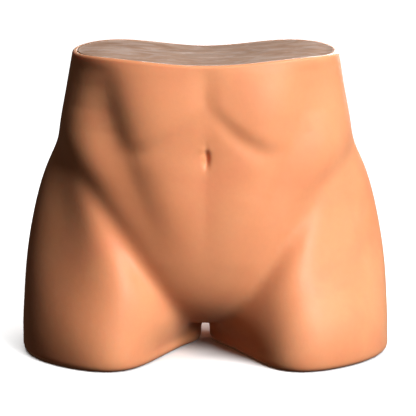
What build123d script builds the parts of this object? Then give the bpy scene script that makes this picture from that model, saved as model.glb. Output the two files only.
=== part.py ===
"""Free-standing lower-torso mannequin, waist to upper thigh, in a soft moulded skin.

Frame: millimetres, +Z up, -Y is the front, X = 0 is the mirror plane and Z = 0 is the surface it
stands on. Three pieces nest from the outside in: a moulded skin that is open at the waist, a foam
core that fills it, and a cast layer that closes the waist.
"""

import os
from math import cos, copysign, pi, sin

from build123d import *

# Driving dimensions of the whole form
HEIGHT = 313.0  # floor to the highest stretch of the waist rim, at the back
HALF_WIDTH = 190.0  # mirror plane to the widest point of a thigh
HALF_DEPTH = 114.0  # Y = 0 to the front of a thigh, and to the back of a buttock

# Moulding
WALL = 6.0  # thickness of the skin
BASE_ROUND = 8.0  # edge radius round the foot of each thigh
RIM_ROUND = 3.0  # edge radius round the waist opening
LEG_GAP = 5.0  # least gap between the two thighs
CROTCH_Z = 32.0  # where the thighs part
INNER_SHARE = 1.6  # the wall is this much thicker where the thighs face each other

# Waist face: a wave that runs front to back, lowest at the mirror plane
WAIST_FALL = 4.0  # its crests are this much lower at Y = -HALF_DEPTH than at Y = HALF_DEPTH
WAIST_DIP_FRONT = 4.5  # depth of its trough at Y = -HALF_DEPTH
WAIST_DIP_BACK = 9.5  # and at Y = HALF_DEPTH
WAIST_CREST_X = 98.0  # where it is highest on each side
WAIST_TIP_X = 160.0  # beyond the rim on each side
WAIST_TIP_DROP = 6.0  # it has fallen this far below the crest by then

# Filling
FIT_GAP = 0.3  # between the skin and what fills it
CAP_DEPTH = 16.0  # least thickness of the cast layer
CAP_RECESS = 0.8  # the cast layer lies this far below the rim

# Trunk: (half width, front, back) of each level, evenly spaced from the crotch to above the rim
TRUNK_STEP = 29.4
TRUNK_LEVELS = (
    (40.0, 38.0, 56.0),
    (71.0, 76.0, 68.0),
    (93.0, 91.0, 73.0),
    (110.4, 97.0, 77.0),
    (126.5, 99.0, 81.0),
    (139.5, 99.0, 84.0),
    (149.5, 98.5, 85.0),
    (148.8, 98.0, 83.5),
    (142.8, 97.5, 82.0),
    (138.0, 96.5, 84.0),
    (131.5, 95.0, 87.0),
)
TRUNK_SQUARENESS = 2.4  # exponent of the level's superellipse
TRUNK_POINTS = 24

# Thigh with its buttock: (z, outer x, front and back), evenly spaced. Front and back are each
# (inner x, x of the outermost point, depth of that point, fullness of the inner and outer
# quarters), where a quarter of fullness 0.71 is an ellipse and 0.5 is nearly straight.
INNER = LEG_GAP / 2
THIGH_LEVELS = (
    (0.0, 188.5, (INNER, 92.0, 111.0, 0.58, 0.70), (INNER, 98.0, 95.0, 0.80, 0.72)),
    (32.0, HALF_WIDTH, (INNER, 91.0, HALF_DEPTH, 0.58, 0.69), (INNER, 94.0, 101.0, 0.80, 0.72)),
    (64.0, 188.4, (INNER, 86.0, 107.0, 0.60, 0.66), (INNER, 88.0, 110.0, 0.80, 0.72)),
    (96.0, 185.4, (36.0, 82.0, 95.0, 0.65, 0.62), (INNER, 84.0, HALF_DEPTH, 0.80, 0.72)),
    (128.0, 179.8, (50.0, 93.0, 80.5, 0.68, 0.58), (INNER, 82.0, 112.0, 0.80, 0.72)),
    (160.0, 172.4, (62.0, 107.0, 68.5, 0.70, 0.55), (5.0, 82.0, 104.0, 0.80, 0.72)),
    (192.0, 162.3, (86.0, 126.0, 54.0, 0.71, 0.53), (20.0, 86.0, 87.0, 0.80, 0.72)),
    (224.0, 147.5, (110.0, 134.0, 29.0, 0.71, 0.60), (55.0, 95.0, 58.0, 0.80, 0.72)),
)


RISING = (Align.CENTER, Align.CENTER, Align.MIN)  # a box that stands on its position


def closed_curve(points, z):
    """A smooth closed wire through points at height z."""
    corners = [Vector(x, y, z) for x, y in points]
    return Wire([Edge.make_spline(corners, periodic=True)])


def trunk_outline(half_width, front, back):
    """Points of one trunk level: a superellipse that is deeper in front than behind."""
    points = []
    for i in range(TRUNK_POINTS):
        turn = 2 * pi * i / TRUNK_POINTS
        across, along = (
            copysign(abs(v) ** (2 / TRUNK_SQUARENESS), v) for v in (cos(turn), sin(turn))
        )
        depth = back if along > 0 else front
        points.append((half_width * across, depth * along))
    return points


def thigh_outline(outer, front, back):
    """Points of one thigh level: four extremes and four diagonals of set fullness."""

    def side(direction, inner, crest, depth, inner_fullness, outer_fullness):
        """The two diagonals and the extreme of one side, from the mirror plane outwards."""
        return [
            (crest - inner_fullness * (crest - inner), direction * inner_fullness * depth),
            (crest, direction * depth),
            (crest + outer_fullness * (outer - crest), direction * outer_fullness * depth),
        ]

    inner = (front[0] + back[0]) / 2
    return [(inner, 0.0), *side(-1, *front), (outer, 0.0), *reversed(side(1, *back))]


def trunk(inset):
    """The belly and pelvis as one loft, its surface set back by inset."""
    wires = []
    for i, (half_width, front, back) in enumerate(TRUNK_LEVELS):
        level = CROTCH_Z + i * TRUNK_STEP + (inset if i == 0 else 0)
        outline = trunk_outline(half_width - inset, front - inset, back - inset)
        wires.append(closed_curve(outline, level))
    return Part([Solid.make_loft(wires)])


def thigh(inset):
    """The right thigh and buttock as one loft with a rounded foot, set back by inset."""
    wires = []
    for z, outer, *sides in THIGH_LEVELS:
        level = z + inset if z == 0 else z
        front, back = (
            (inner + INNER_SHARE * inset, crest, depth - inset, *fullness)
            for inner, crest, depth, *fullness in sides
        )
        wires.append(closed_curve(thigh_outline(outer - inset, front, back), level))
    body = Part([Solid.make_loft(wires)])
    foot = body.edges().sort_by(Axis.Z)[0]
    return fillet(foot, BASE_ROUND - inset / 2)


def waist_profile(crest, dip, y):
    """The plane area above the waist face at depth y, between its crests and its trough."""
    wave = Spline(
        (-WAIST_TIP_X, y, crest - WAIST_TIP_DROP),
        (-WAIST_CREST_X, y, crest),
        (0, y, crest - dip),
        (WAIST_CREST_X, y, crest),
        (WAIST_TIP_X, y, crest - WAIST_TIP_DROP),
    )
    above = Polyline(
        wave @ 1, (WAIST_TIP_X, y, 2 * HEIGHT), (-WAIST_TIP_X, y, 2 * HEIGHT), wave @ 0
    )
    return Face(Wire([*wave.edges(), *above.edges()]))


def waist_cutter(drop):
    """Everything above the wave-shaped waist face, set down by drop."""
    front = waist_profile(HEIGHT - WAIST_FALL, WAIST_DIP_FRONT, -HALF_DEPTH)
    back = waist_profile(HEIGHT, WAIST_DIP_BACK, HALF_DEPTH)
    return Pos(0, 0, -drop) * loft([front, back], ruled=True)


def form(inset, drop):
    """The whole torso as one solid, set back by inset, its waist face set down by drop."""
    right = thigh(inset)
    left = mirror(right, about=Plane.YZ)
    return trunk(inset) + right + left - waist_cutter(drop)


def rounded_rim(body):
    """The torso with a rounded edge round its waist face."""
    top = body.faces().sort_by(Axis.Z)[-1]
    return fillet(top.edges(), RIM_ROUND)


def skin():
    """The moulded skin: the whole form less its filling, and open at the waist."""
    return rounded_rim(form(0.0, 0.0)) - form(WALL, -2 * CAP_DEPTH)


def filling():
    """All that lies inside the skin, up to the waist face."""
    return form(WALL + FIT_GAP, CAP_RECESS)


def build():
    """Writes one STEP file for each piece."""
    os.makedirs("parts", exist_ok=True)
    seat = HEIGHT - WAIST_DIP_BACK - CAP_RECESS - CAP_DEPTH
    whole = filling()
    over_seat = Pos(0, 0, seat) * Box(4 * HALF_WIDTH, 4 * HALF_DEPTH, HEIGHT, align=RISING)
    pieces = {
        "body_skin": skin(),
        "foam_core": whole - over_seat,
        "waist_cap": whole & over_seat,
    }
    for name, piece in pieces.items():
        export_step(piece, f"parts/{name}.step")


build()
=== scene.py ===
from math import cos, pi, radians, sin

import bmesh
import bpy
import numpy as np
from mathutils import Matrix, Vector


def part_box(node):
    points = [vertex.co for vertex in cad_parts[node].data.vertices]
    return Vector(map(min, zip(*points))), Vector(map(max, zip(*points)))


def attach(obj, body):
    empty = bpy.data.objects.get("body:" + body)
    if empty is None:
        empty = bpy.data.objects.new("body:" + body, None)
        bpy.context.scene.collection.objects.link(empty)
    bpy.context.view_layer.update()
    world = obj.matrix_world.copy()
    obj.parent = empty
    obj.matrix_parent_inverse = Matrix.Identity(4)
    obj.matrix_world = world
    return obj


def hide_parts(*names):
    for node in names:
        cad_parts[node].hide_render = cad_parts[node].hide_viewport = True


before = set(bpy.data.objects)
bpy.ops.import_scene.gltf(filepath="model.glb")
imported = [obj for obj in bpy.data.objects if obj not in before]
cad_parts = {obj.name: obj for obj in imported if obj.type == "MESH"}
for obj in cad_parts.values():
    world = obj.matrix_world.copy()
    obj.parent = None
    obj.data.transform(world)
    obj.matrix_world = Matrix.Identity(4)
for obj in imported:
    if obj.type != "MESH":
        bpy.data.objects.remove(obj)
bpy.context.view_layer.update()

import openvdb
from mathutils import Vector, noise
from mathutils.bvhtree import BVHTree

MM = 0.001

# ---------------------------------------------------------------- sizes
VOXEL = 2.55 * MM
BAND = 10  # voxels of true distance on each side of the surface
MARGIN = 5  # voxels of grid round the form
WALL = 6.0 * MM  # thickness of the skin
FILL_GAP = 0.25 * MM  # between the skin and what fills it
NEAR_FILLING = 0.15 * WALL  # only the inside of the CAD skin is this close to its filling
CAP_RECESS = 0.8 * MM  # the cast layer lies this far below the rim
CAP_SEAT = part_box("waist_cap")[0][2]  # height of its underside
FOAM_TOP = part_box("foam_core")[1][2]
SEAM_Z = 284.0 * MM  # above this the sides go on straight, to be cut at the rim
SEAM_SPAN = 6  # voxels below the seam that give the sides their slope
TALL = 330.0 * MM  # the grid reaches this high, past the waist face
# How far the form is smoothed: in front, behind, and at the slot between the thighs
FRONT_BLUR, BACK_BLUR, GAP_BLUR = 6.2 * MM, 10.0 * MM, 0.9 * MM

# Rim of the skin, from the outside in
RIM_DROP = 2.6 * MM  # the rounding starts this far below the waist face
RIM_FLAT = 1.3 * MM  # level stretch on top
RIM_INNER = 1.2 * MM  # radius of the rounding towards the cast layer
RIM_WALL = 5.0 * MM  # straight stretch below it
RIM_TAPER = 0.1 * MM  # what that stretch leans inwards
OUTER_TURNS, INNER_TURNS = 6, 4  # rings in each rounding
CAVITY_DROP = 9.0 * MM  # the inner surface starts this far below the waist face


# ---------------------------------------------------------------- mesh helpers
def arrays_of(obj):
    """Vertex positions and triangles of a mesh object."""
    mesh = obj.data
    mesh.calc_loop_triangles()
    co = np.empty(len(mesh.vertices) * 3, np.float32)
    mesh.vertices.foreach_get("co", co)
    tri = np.empty(len(mesh.loop_triangles) * 3, np.int32)
    mesh.loop_triangles.foreach_get("vertices", tri)
    return co.reshape(-1, 3), tri.reshape(-1, 3)


def positions(mesh):
    co = np.empty(len(mesh.vertices) * 3)
    mesh.vertices.foreach_get("co", co)
    return co.reshape(-1, 3)


def normals(mesh):
    no = np.empty(len(mesh.vertices) * 3)
    mesh.vertex_normals.foreach_get("vector", no)
    return no.reshape(-1, 3)


def set_positions(mesh, co):
    mesh.vertices.foreach_set("co", co.astype(np.float32).ravel())
    mesh.update()


def new_object(name, mesh):
    obj = bpy.data.objects.new(name, mesh)
    bpy.context.scene.collection.objects.link(obj)
    return obj


def smoothstep(low, high, x):
    t = np.clip((x - low) / (high - low), 0.0, 1.0)
    return t * t * (3 - 2 * t)


# ---------------------------------------------------------------- the form as a distance field
def outer_shell():
    """Points and triangles of the skin's outside, closed over the waist."""
    skin_co, skin_tri = arrays_of(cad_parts["body_skin"])
    inside = [arrays_of(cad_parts[n]) for n in ("foam_core", "waist_cap")]
    trees = [BVHTree.FromPolygons(co.tolist(), tri.tolist()) for co, tri in inside]
    centres = skin_co[skin_tri].mean(axis=1)
    keep = np.ones(len(skin_tri), bool)
    for i, centre in enumerate(centres):
        for tree in trees:
            if tree.find_nearest(Vector(centre), NEAR_FILLING)[0] is not None:
                keep[i] = False
                break
    tri = skin_tri[keep]
    _, first, same = np.unique(
        np.round(skin_co, 6), axis=0, return_index=True, return_inverse=True
    )
    co, tri = skin_co[first], same.ravel()[tri]
    tri = tri[(tri[:, 0] != tri[:, 1]) & (tri[:, 1] != tri[:, 2]) & (tri[:, 0] != tri[:, 2])]
    edges = np.concatenate([tri[:, [0, 1]], tri[:, [1, 2]], tri[:, [2, 0]]])
    keys = {tuple(e) for e in edges.tolist()}
    open_edges = [(b, a) for a, b in keys if (b, a) not in keys]
    hub = len(co)
    rim = co[np.unique(open_edges)]
    co = np.vstack([co, rim.mean(axis=0)])
    lid = [(a, b, hub) for a, b in open_edges]
    return co, np.vstack([tri, lid])


def blurred(field, radius):
    """The field after a Gaussian blur of that radius in metres."""
    sigma = radius / VOXEL
    reach = int(np.ceil(3 * sigma))
    taps = np.exp(-0.5 * (np.arange(-reach, reach + 1) / sigma) ** 2)
    taps /= taps.sum()
    for axis in range(3):
        pad = [(reach, reach) if a == axis else (0, 0) for a in range(3)]
        wide = np.pad(field, pad, mode="edge")
        size = field.shape[axis]
        field = sum(
            w * np.take(wide, range(i, i + size), axis=axis) for i, w in enumerate(taps)
        ).astype(np.float32)
    return field


def distance_field():
    """Signed distance to the smoothed form on a grid, and the grid's lowest corner in voxels."""
    co, tri = outer_shell()
    step = openvdb.createLinearTransform(voxelSize=VOXEL)
    grid = openvdb.FloatGrid.createLevelSetFromPolygons(
        co.astype(np.float32), triangles=tri.astype(np.uint32), transform=step, halfWidth=BAND
    )
    low = np.floor(co.min(axis=0) / VOXEL).astype(int) - MARGIN
    high = np.ceil(co.max(axis=0) / VOXEL).astype(int) + MARGIN
    high[2] = int(np.ceil(TALL / VOXEL)) + 1
    field = np.full(high - low + 1, grid.background, np.float32)
    grid.copyToArray(field, ijk=tuple(int(v) for v in low))
    seam = int(round(SEAM_Z / VOXEL)) - low[2]
    lean = (field[:, :, seam] - field[:, :, seam - SEAM_SPAN]) / SEAM_SPAN
    for k in range(seam + 1, field.shape[2]):
        field[:, :, k] = field[:, :, seam] + (k - seam) * lean
    axes = [np.arange(low[a], high[a] + 1) * VOXEL for a in range(3)]
    x, y, z = np.meshgrid(*axes, indexing="ij", sparse=True)
    # The slot between the thighs and the edge of the feet stay crisp
    clear = np.maximum(smoothstep(4 * MM, 20 * MM, np.abs(x)), smoothstep(28 * MM, 50 * MM, z))
    clear = clear * smoothstep(3 * MM, 26 * MM, z)
    behind = smoothstep(-80 * MM, -20 * MM, y)
    soft = blurred(field, FRONT_BLUR) * (1 - behind) + blurred(field, BACK_BLUR) * behind
    return soft * clear + blurred(field, GAP_BLUR) * (1 - clear), low


def surface(field, low, level, coarse=1):
    """The surface at that distance, as a mesh of quads."""
    grid = openvdb.FloatGrid(float(field.max()))
    grid.copyFromArray(np.ascontiguousarray(field[::coarse, ::coarse, ::coarse]))
    co, quads = grid.convertToQuads(isovalue=level)
    co = (co * coarse + low) * VOXEL
    mesh = bpy.data.meshes.new("surface")
    mesh.from_pydata(co.tolist(), [], quads.tolist())
    mesh.update()
    return mesh


def sample(field, low, co):
    """The field at each point, by trilinear interpolation."""
    at = co / VOXEL - low
    base = np.clip(np.floor(at).astype(int), 0, np.array(field.shape) - 2)
    f = at - base
    value = 0.0
    for i in (0, 1):
        for j in (0, 1):
            for k in (0, 1):
                w = (
                    (f[:, 0] if i else 1 - f[:, 0])
                    * (f[:, 1] if j else 1 - f[:, 1])
                    * (f[:, 2] if k else 1 - f[:, 2])
                )
                value = value + w * field[base[:, 0] + i, base[:, 1] + j, base[:, 2] + k]
    return value


def relax(mesh, field, low, level, rounds=3, ease=0.6):
    """Evens out a surface's vertices and puts them back on the level."""
    h = 0.5 * VOXEL
    least_slope = 0.25  # squared, where the field is nearly level
    edges = np.empty(len(mesh.edges) * 2, np.int64)
    mesh.edges.foreach_get("vertices", edges)
    a, b = edges.reshape(-1, 2).T
    co = positions(mesh)
    count = np.bincount(np.r_[a, b], minlength=len(co))[:, None]
    for _ in range(rounds):
        total = np.zeros_like(co)
        np.add.at(total, a, co[b])
        np.add.at(total, b, co[a])
        co = co + ease * (total / count - co)
        for _ in range(2):
            grad = np.stack(
                [
                    sample(field, low, co + h * e) - sample(field, low, co - h * e)
                    for e in np.eye(3)
                ],
                axis=1,
            ) / (2 * h)
            size = np.maximum((grad**2).sum(axis=1), least_slope)[:, None]
            co = co - (sample(field, low, co) - level)[:, None] * grad / size
    set_positions(mesh, co)


# ---------------------------------------------------------------- the waist face
def waist_wave():
    """Fits the height of the waist face over (x, y) to the CAD cast layer just below it."""
    co, tri = arrays_of(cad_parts["waist_cap"])
    a, b, c = (co[tri[:, i]].astype(float) for i in range(3))
    facing = np.cross(b - a, c - a)
    co = co[np.unique(tri[facing[:, 2] > 0.8 * np.linalg.norm(facing, axis=1)])].astype(float)
    terms = wave_terms(co[:, 0], co[:, 1])
    return np.linalg.lstsq(terms, co[:, 2] + CAP_RECESS, rcond=None)[0]


def wave_terms(x, y):
    """Even powers of x, each alone and times y: the terms that the height is made of."""
    u, v = x / 0.1, y / 0.1
    return np.stack([u ** (2 * i) * v**j for i in range(4) for j in (0, 1)], axis=1)


def waist(x, y):
    """Height of the waist face at each (x, y)."""
    return wave_terms(np.asarray(x, float), np.asarray(y, float)) @ WAVE


def cut_at_waist(mesh, drop):
    """Removes everything higher than drop below the waist face."""
    co = positions(mesh)
    lift = waist(co[:, 0], co[:, 1])
    co[:, 2] -= lift
    set_positions(mesh, co)
    bm = bmesh.new()
    bm.from_mesh(mesh)
    geom = bm.verts[:] + bm.edges[:] + bm.faces[:]
    bmesh.ops.bisect_plane(
        bm, geom=geom, dist=1e-7, plane_co=(0, 0, -drop), plane_no=(0, 0, 1), clear_outer=True
    )
    rim = [v for v in bm.verts if v.is_boundary]
    bmesh.ops.remove_doubles(bm, verts=rim, dist=0.35 * VOXEL)
    bm.to_mesh(mesh)
    bm.free()
    co = positions(mesh)
    co[:, 2] += waist(co[:, 0], co[:, 1])
    set_positions(mesh, co)


def open_loop(bm):
    """The vertices of the one open edge loop, in order, anticlockwise from above."""
    edges = [e for e in bm.edges if e.is_boundary]
    nexts = {}
    for e in edges:
        for v in e.verts:
            nexts.setdefault(v, []).append(e.other_vert(v))
    first = edges[0].verts[0]
    loop, last = [first], None
    while True:
        here = loop[-1]
        step = [v for v in nexts[here] if v != last][0]
        if step == first:
            break
        last = here
        loop.append(step)
    area = sum(
        a.co.x * b.co.y - b.co.x * a.co.y for a, b in zip(loop, loop[1:] + loop[:1])
    )
    return loop if area > 0 else loop[::-1]


def outward(points):
    """Horizontal outward direction at each point of an anticlockwise loop."""
    ahead = np.roll(points, -3, axis=0) - np.roll(points, 3, axis=0)
    out = np.stack([ahead[:, 1], -ahead[:, 0], np.zeros(len(points))], axis=1)
    return out / np.linalg.norm(out, axis=1)[:, None]


def add_rings(bm, loop, rings):
    """Joins rings of new vertices to a loop, one after the other, and returns the last."""
    for ring in rings:
        made = [bm.verts.new(p) for p in ring]
        for i in range(len(loop)):
            j = (i + 1) % len(loop)
            bm.faces.new((loop[i], loop[j], made[j], made[i]))
        loop = made
    return loop


# ---------------------------------------------------------------- sculpted relief
def along(x, z, path):
    """Distance of each point to a path of (x, z, strength) points, and the strength there."""
    path = np.array(path, float)
    near = np.full(len(x), 1e9)
    strength = np.zeros(len(x))
    for (ax, az, av), (bx, bz, bv) in zip(path[:-1], path[1:]):
        dx, dz = bx - ax, bz - az
        t = np.clip(((x - ax) * dx + (z - az) * dz) / (dx * dx + dz * dz), 0, 1)
        d = np.hypot(x - ax - t * dx, z - az - t * dz)
        closer = d < near
        near = np.where(closer, d, near)
        strength = np.where(closer, av + t * (bv - av), strength)
    return near, strength


def bell(distance, width=1.0):
    """1 at no distance, falling smoothly to nothing over about three widths."""
    return np.exp(-0.5 * (distance / width) ** 2)


def step_over(x, z, path, width):
    """-1 below a path that runs outwards, +1 above it, faded with distance from it."""
    path = np.array(path, float)
    height = np.interp(x, path[:, 0], path[:, 1])
    reach = np.interp(x, path[:, 0], path[:, 2], left=0, right=0)
    side = (z - height) / width
    return reach * side * np.exp(0.5 - 0.5 * side**2)


def hollow_beside(x, z, path, inner, outer):
    """A hollow that runs down the body, with an inner and an outer half width."""
    level, middle, depth = np.array(path[::-1], float).T
    side = x - np.interp(z, level, middle)
    return -np.interp(z, level, depth) * bell(side / np.where(side < 0, inner, outer))


def mound(x, z, middle_x, middle_z, height, half_x, half_z):
    """A soft oval rise, or a pit where its height is negative."""
    return height * bell(np.hypot((x - middle_x) / half_x, (z - middle_z) / half_z))


# Paths on one half of the body, mirrored: (x, z, depth), all in millimetres
MIDLINE = ((0, 308, 0.4), (0, 292, 1.4), (0, 270, 2.2), (0, 250, 1.0), (0, 236, 0.2), (0, 224, 0))
MIDLINE_LOW = ((0, 204, 0.0), (0, 190, 0.3), (0, 150, 0.3), (0, 110, 0.0))
ARC = (
    (2, 262, 0.1), (10, 258, 0.4), (18, 251, 0.7), (32, 238, 0.9), (46, 228, 1.1),
    (58, 222, 1.0), (70, 220, 0.6), (86, 222, 0.0),
)
DEEP_ARC = tuple((x, z, 1.5 * depth) for x, z, depth in ARC)
GROIN = (
    (158, 224, 0.6), (141, 204, 1.6), (121, 179, 2.0), (101, 153, 1.6), (80, 116, 0.8),
    (58, 83, 0.4), (44, 56, 0.2), (38, 44, 0.0),
)
OBLIQUE = ((122, 274, 0.3), (118, 248, 0.8), (114, 222, 0.9), (102, 192, 0.5), (88, 166, 0))
LOWER_BELLY = ((34, 194, 1.8), (33, 170, 2.2), (26, 135, 1.2), (14, 100, 0.0))
SPINE = ((0, 306, 2.2), (0, 270, 3.0), (0, 240, 2.8), (0, 212, 1.4), (0, 190, 0))
FOLD = ((22, 34, 0.0), (40, 28, 1.6), (70, 27, 2.2), (105, 35, 1.6), (140, 52, 0.5), (160, 66, 0.0))
# (path, half width), sunk as grooves or raised as ridges
FRONT_GROOVES = ((MIDLINE, 8.0), (MIDLINE_LOW, 7.0), (DEEP_ARC, 6.5), (GROIN, 9.0))
FRONT_RIDGES = ((OBLIQUE, 13.0), (LOWER_BELLY, 19.0))
BACK_GROOVES = ((SPINE, 9.0), (FOLD, 6.5))
ARC_STEP = 9.0  # half width of the step from the muscle down to the belly

# (z, x, depth) of the hollow at the side of the belly, and its half widths inwards and outwards
HOLLOW = (
    (312, 109, 0.0), (298, 108, 2.6), (280, 106, 6.0), (258, 103, 8.4), (236, 96, 8.6),
    (214, 88, 7.0), (192, 79, 5.6), (170, 70, 4.4), (150, 61, 3.0), (130, 52, 1.6), (106, 44, 0.0),
)
HOLLOW_INNER, HOLLOW_OUTER = 15.0, 21.0

# Rises and pits: (x, z, height, half width, half height)
LOBE = (54, 258, 4.4, 25, 27)  # the muscle on each side of the midline
DIMPLE = (33, 214, -1.9, 8, 8)  # above each buttock
NAVEL_MIDDLE = (0.0, 214.0)
NAVEL = (
    (0.8, -0.5, -4.6, 2.1, 5.6),  # the upright pit
    (0.0, 0.0, -1.5, 7.5, 12.0),  # the dish round it
    (-1.0, -0.5, 1.7, 1.3, 2.6),  # the knot inside
    (0.0, 8.0, 0.8, 4.2, 2.4),  # the hood over it
)
NAVEL_REACH = 17.0
BEHIND = -50.0  # the front of the belly lies before this y

UNEVEN = 0.5  # height of the broad unevenness of the casting
UNEVEN_SCALE, UNEVEN_OFFSET = 14, Vector((3.7, 1.2, 8.1))


def relief(co, no):
    """Height of the relief over the plain form at each point, in metres."""
    x, z = np.abs(co[:, 0]) / MM, co[:, 2] / MM
    front = smoothstep(0.05, 0.45, -no[:, 1])
    back = smoothstep(0.05, 0.45, no[:, 1])
    rim = smoothstep(310, 296, z)
    foot = smoothstep(2, 20, z)

    def ridges(paths):
        height = 0.0
        for path, width in paths:
            distance, depth = along(x, z, path)
            height = height + depth * bell(distance, width)
        return height

    ahead = (
        ridges(FRONT_RIDGES)
        - ridges(FRONT_GROOVES)
        + step_over(x, z, ARC, ARC_STEP)
        + hollow_beside(x, z, HOLLOW, HOLLOW_INNER, HOLLOW_OUTER)
        + mound(x, z, *LOBE)
    )
    behind = mound(x, z, *DIMPLE) - ridges(BACK_GROOVES)
    uneven = np.array([noise.noise(Vector(p) * UNEVEN_SCALE + UNEVEN_OFFSET) for p in co])
    return (ahead * front * rim + behind * back * rim + UNEVEN * uneven * foot) * MM


def navel(co):
    """Height of the navel's relief at each point, in metres."""
    x, z = co[:, 0] / MM - NAVEL_MIDDLE[0], co[:, 2] / MM - NAVEL_MIDDLE[1]
    height = sum(mound(x, z, *part) for part in NAVEL)
    return np.where(co[:, 1] < BEHIND * MM, height, 0.0) * MM


def sculpt(mesh):
    """Adds the relief and the navel to a surface of the form."""
    co, no = positions(mesh), normals(mesh)
    co = co + no * relief(co, no)[:, None]
    co[:, 1] -= navel(co)
    set_positions(mesh, co)


def refine_navel(mesh, cuts=3):
    """Splits the faces round the navel."""
    middle = Vector((NAVEL_MIDDLE[0], 0, NAVEL_MIDDLE[1])) * MM

    def near(vert):
        across, _, up = vert.co - middle
        return vert.co.y < BEHIND * MM and np.hypot(across, up) < NAVEL_REACH * MM

    bm = bmesh.new()
    bm.from_mesh(mesh)
    edges = [e for e in bm.edges if all(near(v) for v in e.verts)]
    bmesh.ops.subdivide_edges(bm, edges=edges, cuts=cuts, use_grid_fill=True, smooth=0)
    bm.to_mesh(mesh)
    bm.free()


def finished(bm, name):
    """A smooth object from a closed mesh."""
    bmesh.ops.recalc_face_normals(bm, faces=bm.faces[:])
    mesh = bpy.data.meshes.new(name)
    bm.to_mesh(mesh)
    bm.free()
    mesh.polygons.foreach_set("use_smooth", np.ones(len(mesh.polygons), bool))
    return new_object(name, mesh)


# ---------------------------------------------------------------- the skin
def rim_lean(loop):
    """How far the surface under each rim vertex leans, evened out along the loop."""
    lean = np.array([v.normal.z for v in loop])
    reach = 8
    around = np.r_[lean[-reach:], lean, lean[:reach]]
    span = 2 * reach + 1
    return np.clip(np.convolve(around, np.ones(span) / span, "valid"), 0, 0.5)


def rim_rings(loop):
    """Rings of points over the rounded rim and down inside it, its inner edge, and outward."""
    edge = np.array([v.co for v in loop])
    out = outward(edge)
    lean = rim_lean(loop)
    radius = RIM_DROP / (1 - lean)
    start = np.arcsin(lean)
    up = np.array([0, 0, 1])
    rings = []
    for turn in np.linspace(0, 1, OUTER_TURNS + 1)[1:]:
        angle = start + turn * (pi / 2 - start)
        inward = radius * (np.cos(start) - np.cos(angle))
        rise = radius * (np.sin(angle) - np.sin(start))
        rings.append(edge - out * inward[:, None] + rise[:, None] * up)
    top = rings[-1]
    rings.append(top - out * RIM_FLAT)
    for turn in np.linspace(0, 1, INNER_TURNS + 1)[1:]:
        angle = turn * pi / 2
        inward = RIM_FLAT + RIM_INNER * sin(angle)
        rings.append(top - out * inward - up * RIM_INNER * (1 - cos(angle)))
    rings.append(top - out * (RIM_FLAT + RIM_INNER + RIM_TAPER) - up * RIM_WALL)
    return rings, top - out * (RIM_FLAT + RIM_INNER), out


def build_skin():
    """The skin, the inner edge of its rim, and the outward direction at each point of that."""
    outside = surface(field, LOW, 0.0)
    relax(outside, field, LOW, 0.0)
    cut_at_waist(outside, RIM_DROP)
    refine_navel(outside)
    sculpt(outside)
    inside = surface(field, LOW, -WALL, coarse=2)
    relax(inside, field, LOW, -WALL)
    cut_at_waist(inside, CAVITY_DROP)
    sculpt(inside)
    inside.flip_normals()

    bm = bmesh.new()
    bm.from_mesh(outside)
    loop = open_loop(bm)
    rings, inner_edge, out = rim_rings(loop)
    add_rings(bm, loop, rings)
    bm.from_mesh(inside)
    bmesh.ops.bridge_loops(bm, edges=[e for e in bm.edges if e.is_boundary])
    return finished(bm, "torso_skin"), inner_edge, out


# ---------------------------------------------------------------- what fills the skin
RIM_CLEARANCE = 0.12 * MM
CAP_RINGS = 56  # rings of the top face, closer together near the rim
CAP_REACH = 0.985  # the last of them is this far on the way to the middle
CAST_CLIMB, CAST_CLIMB_REACH = 0.72, 1.6  # millimetres: its rise at the rim, and how far that fades


def to_wall(points, out, level):
    """Moves points along out until they lie at that level of the field, then follows the relief."""
    for _ in range(4):
        points = points + out * (level - sample(field, LOW, points))[:, None]
    return points + out * relief(points, out)[:, None]


def fan(bm, loop, middle):
    """Closes a loop with triangles to its middle."""
    hub = bm.verts.new(middle)
    for a, b in zip(loop, loop[1:] + loop[:1]):
        bm.faces.new((a, b, hub))


def build_cap(edge, out):
    """The cast layer: its uneven top face inside the rim, its wall and its flat underside."""
    edge = edge - out * RIM_CLEARANCE
    middle = np.array([0.0, edge[:, 1].mean(), 0.0])

    def top_ring(scale):
        ring = middle + (edge - middle) * scale
        distance = (1 - scale) * np.hypot(edge[:, 0], edge[:, 1] - middle[1])
        height = waist(ring[:, 0], ring[:, 1]) - CAP_RECESS + cast_relief(ring, distance)
        return np.column_stack([ring[:, :2], height])

    bm = bmesh.new()
    rings = [top_ring(1 - CAP_REACH * t**1.15) for t in np.linspace(0, 1, CAP_RINGS)[:-1]]
    top = rings[0]
    loop = [bm.verts.new(p) for p in top]
    inner = add_rings(bm, loop[::-1], [r[::-1] for r in rings[1:]])
    fan(bm, inner, np.mean([v.co for v in inner], axis=0))
    side = []
    for share in (0.08, 0.3, 0.45, 0.6, 0.8, 1.0):
        ring = top.copy()
        ring[:, 2] = top[:, 2] + share * (CAP_SEAT - top[:, 2])
        wall = to_wall(ring, out, -(WALL + FILL_GAP))
        mix = smoothstep(0.25, 0.7, share)
        side.append(ring * (1 - mix) + wall * mix)
    fan(bm, add_rings(bm, loop, side), (0, 0, CAP_SEAT))
    return finished(bm, "cast_layer")


def cast_relief(points, distance):
    """Height of the poured face over its plain wave: a thin climb at the rim, and unevenness."""
    climb = CAST_CLIMB * np.exp(-distance / MM / CAST_CLIMB_REACH)
    rough = np.array([
        0.55 * noise.noise(Vector(p) * 22 + Vector((5.3, 0.4, 2.2)))
        + 0.22 * noise.noise(Vector(p) * 75)
        + 0.07 * noise.noise(Vector(p) * 260)
        for p in points
    ])
    return (climb + rough * smoothstep(0, 6 * MM, distance)) * MM


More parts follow.
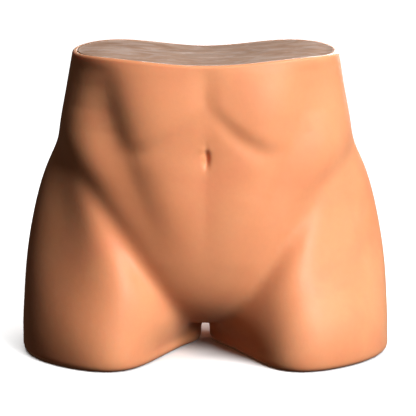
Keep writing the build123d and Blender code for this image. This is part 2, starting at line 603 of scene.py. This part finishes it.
def build_foam():
    """The foam core: the form set back by the skin, cut flat where the cast layer sits on it."""
    level = -(WALL + FILL_GAP)
    mesh = surface(field, LOW, level, coarse=2)
    relax(mesh, field, LOW, level)
    sculpt(mesh)
    bm = bmesh.new()
    bm.from_mesh(mesh)
    geom = bm.verts[:] + bm.edges[:] + bm.faces[:]
    bmesh.ops.bisect_plane(
        bm, geom=geom, dist=1e-6, plane_co=(0, 0, FOAM_TOP), plane_no=(0, 0, 1), clear_outer=True
    )
    loop = open_loop(bm)
    ring = np.array([v.co for v in loop])
    bm.faces.new(add_rings(bm, loop, [ring * (s, s, 1) for s in (0.98, 0.7, 0.4, 0.15)]))
    return finished(bm, "foam_filling")


# ---------------------------------------------------------------- materials
class Nodes:
    """Short calls to build one material's node tree in object space."""

    def __init__(self, name):
        self.material = bpy.data.materials.new(name)
        self.material.use_nodes = True
        self.tree = self.material.node_tree
        self.shader = self.tree.nodes["Principled BSDF"]
        self.place = self.tree.nodes.new("ShaderNodeTexCoord").outputs["Object"]

    def link(self, source, target):
        self.tree.links.new(source, target)

    def noise(
        self, scale, detail=3.0, roughness=0.5, distortion=0.0, stretch=(1, 1, 1), offset=(0, 0, 0)
    ):
        node = self.tree.nodes.new("ShaderNodeTexNoise")
        node.inputs["Scale"].default_value = scale
        node.inputs["Detail"].default_value = detail
        node.inputs["Roughness"].default_value = roughness
        node.inputs["Distortion"].default_value = distortion
        place = self.tree.nodes.new("ShaderNodeMapping")
        place.inputs["Location"].default_value = offset
        place.inputs["Scale"].default_value = stretch
        self.link(self.place, place.inputs["Vector"])
        self.link(place.outputs["Vector"], node.inputs["Vector"])
        return node.outputs["Fac"]

    def cells(self, scale):
        node = self.tree.nodes.new("ShaderNodeTexVoronoi")
        node.inputs["Scale"].default_value = scale
        self.link(self.place, node.inputs["Vector"])
        return node.outputs["Distance"]

    def ramp(self, source, *stops):
        """Maps a 0 to 1 value through (position, colour or grey) stops."""
        node = self.tree.nodes.new("ShaderNodeValToRGB")
        elements = node.color_ramp.elements
        while len(elements) < len(stops):
            elements.new(0.5)
        for element, (position, value) in zip(elements, stops):
            element.position = position
            grey = isinstance(value, (int, float))
            element.color = (value, value, value, 1) if grey else (*value, 1)
        self.link(source, node.inputs["Fac"])
        return node.outputs["Color"]

    def mix(self, share, a, b, blend="MIX"):
        node = self.tree.nodes.new("ShaderNodeMix")
        node.data_type, node.blend_type = "RGBA", blend
        sockets = {socket.identifier: socket for socket in node.inputs}
        self.put(sockets["Factor_Float"], share)
        self.put(sockets["A_Color"], a)
        self.put(sockets["B_Color"], b)
        return next(o for o in node.outputs if o.identifier == "Result_Color")

    def put(self, socket, value):
        """Links a socket, or sets its number or colour."""
        if isinstance(value, bpy.types.NodeSocket):
            self.link(value, socket)
        elif isinstance(value, (int, float)):
            socket.default_value = value
        else:
            socket.default_value = (*value, 1)

    def bump(self, *layers):
        """Stacks (height, strength, distance) layers of bump on the shader."""
        normal = None
        for height, strength, distance in layers:
            node = self.tree.nodes.new("ShaderNodeBump")
            node.inputs["Strength"].default_value = strength
            node.inputs["Distance"].default_value = distance
            self.link(height, node.inputs["Height"])
            if normal is not None:
                self.link(normal, node.inputs["Normal"])
            normal = node.outputs["Normal"]
        self.link(normal, self.shader.inputs["Normal"])

    def set(self, values):
        """Sets or links the shader's own sockets."""
        for name, value in values.items():
            self.put(self.shader.inputs[name], value)

    def scatter(self, weight, radius, scale):
        """Light that soaks into the surface and comes out again nearby."""
        self.shader.inputs["Subsurface Weight"].default_value = weight
        self.shader.inputs["Subsurface Radius"].default_value = radius
        self.shader.inputs["Subsurface Scale"].default_value = scale


def srgb(r, g, b):
    """Linear colour from 0 to 255 display values."""
    return tuple(
        v / 12.92 if v <= 0.04045 else ((v + 0.055) / 1.055) ** 2.4
        for v in (r / 255, g / 255, b / 255)
    )


def skin_material():
    """Soft moulded rubber: a warm tan with a faint blush, fine pores and a satin finish."""
    m = Nodes("moulded_skin")
    broad = m.ramp(
        m.noise(7, 2, 0.5, 0.6), (0.32, srgb(219, 141, 98)), (0.68, srgb(229, 156, 112))
    )
    blush = m.ramp(m.noise(16, 3, 0.55, 0.8, offset=(3, 1, 5)), (0.45, 0.0), (0.8, 0.55))
    colour = m.mix(blush, broad, srgb(222, 134, 98))
    fine = m.ramp(m.noise(180, 4, 0.6), (0.3, 0.97), (0.7, 1.0))
    m.set({
        "Base Color": m.mix(1.0, colour, fine, "MULTIPLY"),
        "Roughness": m.ramp(m.noise(60, 4, 0.6), (0.3, 0.42), (0.7, 0.52)),
        "IOR": 1.42,
        "Specular IOR Level": 0.3,
        "Sheen Weight": 0.05,
        "Sheen Roughness": 0.5,
    })
    m.scatter(0.4, (1.0, 0.42, 0.22), 0.012)
    m.bump(
        (m.noise(26, 3, 0.5), 0.12, 0.004),
        (m.noise(420, 3, 0.6), 0.10, 0.0006),
        (m.cells(900), 0.06, 0.0004),
    )
    return m.material


def cast_material():
    """The poured face: dull, pinkish brown, with cloudy streaks of white powder and a fine grain."""
    m = Nodes("cast_layer")
    base = m.ramp(
        m.noise(11, 4, 0.6, 1.2, stretch=(1, 1.6, 1)),
        (0.30, srgb(170, 134, 112)),
        (0.5, srgb(188, 152, 130)),
        (0.72, srgb(202, 172, 153)),
    )
    streaks = m.noise(20, 6, 0.68, 1.6, stretch=(1, 2.2, 1), offset=(2, 7, 1))
    powder = m.ramp(streaks, (0.47, 0.0), (0.72, 0.75))
    colour = m.mix(powder, base, srgb(224, 206, 198))
    grain = m.ramp(m.noise(520, 3, 0.7), (0.3, 0.93), (0.7, 1.0))
    m.set({
        "Base Color": m.mix(1.0, colour, grain, "MULTIPLY"),
        "Roughness": m.ramp(m.noise(40, 4, 0.6), (0.3, 0.62), (0.7, 0.82)),
        "Specular IOR Level": 0.3,
    })
    m.scatter(0.1, (1.0, 0.6, 0.4), 0.006)
    m.bump((m.noise(70, 5, 0.6), 0.22, 0.002), (m.noise(600, 4, 0.7), 0.25, 0.0006))
    return m.material


def foam_material():
    """Open-pored cream foam, with painted shade darkening the pits of its pores."""
    m = Nodes("soft_foam")
    colour = m.ramp(m.noise(45, 4, 0.6), (0.3, srgb(226, 208, 168)), (0.7, srgb(238, 224, 190)))
    # Painted shade: the colour darkens towards the middle of each pore cell, where the bump below
    # sinks the surface into a pit.
    pore_shade = m.ramp(m.cells(620), (0.0, 0.72), (0.45, 1.0))
    m.set({
        "Base Color": m.mix(1.0, colour, pore_shade, "MULTIPLY"),
        "Roughness": m.ramp(m.noise(120, 3, 0.6), (0.3, 0.85), (0.7, 0.95)),
        "Specular IOR Level": 0.2,
    })
    m.bump((m.cells(620), 0.6, 0.0012), (m.noise(1500, 3, 0.6), 0.3, 0.0005))
    return m.material


# ---------------------------------------------------------------- studio
FLOOR_REACH = 9.0
LAMP_DISTANCE = 2.4
LAMP_TARGET = Vector((0, 0, 0.16))
CAMERA_PLACE = Vector((0, -2.062, 0.5606))
CAMERA_TARGET = Vector((0, 0, 0.1447))
LENS, SHIFT = 176.3, 0.006


def floor_material():
    m = Nodes("studio_floor")
    m.set({
        "Base Color": m.ramp(m.noise(3, 2, 0.5), (0.3, 0.86), (0.7, 0.88)),
        "Roughness": m.ramp(m.noise(9, 2, 0.5), (0.3, 0.48), (0.7, 0.52)),
        "Specular IOR Level": 0.15,
    })
    return m.material


def build_floor():
    """A white floor that shows the object's shadow but throws no light back up."""
    mesh = bpy.data.meshes.new("floor")
    r = FLOOR_REACH
    mesh.from_pydata([(-r, -r, 0), (r, -r, 0), (r, r, 0), (-r, r, 0)], [], [(0, 1, 2, 3)])
    floor = new_object("studio_floor", mesh)
    floor.data.materials.append(floor_material())
    floor.visible_diffuse = False
    floor.visible_glossy = False
    return floor


def add_lamp(name, kind, energy, only_on=None):
    """A lamp, which may light one object only."""
    data = bpy.data.lights.new(name, kind)
    data.energy = energy
    lamp = bpy.data.objects.new(name, data)
    bpy.context.scene.collection.objects.link(lamp)
    if only_on is not None:
        lit = bpy.data.collections.new(name)
        lit.objects.link(only_on)
        lamp.light_linking.receiver_collection = lit
    return lamp


def aim(lamp, azimuth, elevation, size):
    """Places a square lamp, by degrees to the right of the front and degrees up."""
    a, e = radians(azimuth), radians(elevation)
    lamp.data.size = size
    lamp.location = LAMP_TARGET + LAMP_DISTANCE * Vector((sin(a) * cos(e), -cos(a) * cos(e), sin(e)))
    lamp.rotation_euler = (LAMP_TARGET - lamp.location).to_track_quat("-Z", "Y").to_euler()


def build_studio(skin):
    """A soft key from the right, a light on the skin's back, a wash on the floor, a dim fill."""
    floor = build_floor()
    world = bpy.data.worlds.new("studio")
    world.use_nodes = True
    fill = world.node_tree.nodes["Background"].inputs
    fill["Color"].default_value = (1, 0.8, 0.62, 1)
    fill["Strength"].default_value = 0.045
    bpy.context.scene.world = world
    aim(add_lamp("key", "AREA", energy=104), azimuth=41, elevation=31, size=1.3)
    aim(add_lamp("back", "AREA", energy=56, only_on=skin), azimuth=165, elevation=14, size=1.2)
    add_lamp("wash", "SUN", energy=4.3, only_on=floor).data.angle = radians(60)
    bpy.context.scene.view_settings.view_transform = "Standard"


def build_camera():
    """A long lens in front of the object and a little above it."""
    data = bpy.data.cameras.new("camera")
    data.sensor_width = 36
    data.lens = LENS
    data.shift_x = SHIFT
    data.clip_end = 50
    camera = bpy.data.objects.new("camera", data)
    bpy.context.scene.collection.objects.link(camera)
    camera.location = CAMERA_PLACE
    camera.rotation_euler = (CAMERA_TARGET - CAMERA_PLACE).to_track_quat("-Z", "Y").to_euler()
    bpy.context.scene.camera = camera


# ---------------------------------------------------------------- assembly
field, LOW = distance_field()
WAVE = waist_wave()
build_camera()
skin, rim_edge, rim_out = build_skin()
build_studio(skin)
cap = build_cap(rim_edge, rim_out)
foam = build_foam()
for piece, node, slot, material in (
    (skin, "body_skin", "skin", skin_material()),
    (cap, "waist_cap", "cast_layer", cast_material()),
    (foam, "foam_core", "foam", foam_material()),
):
    piece.data.materials.append(material)
    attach(piece, "root")
    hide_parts(node)
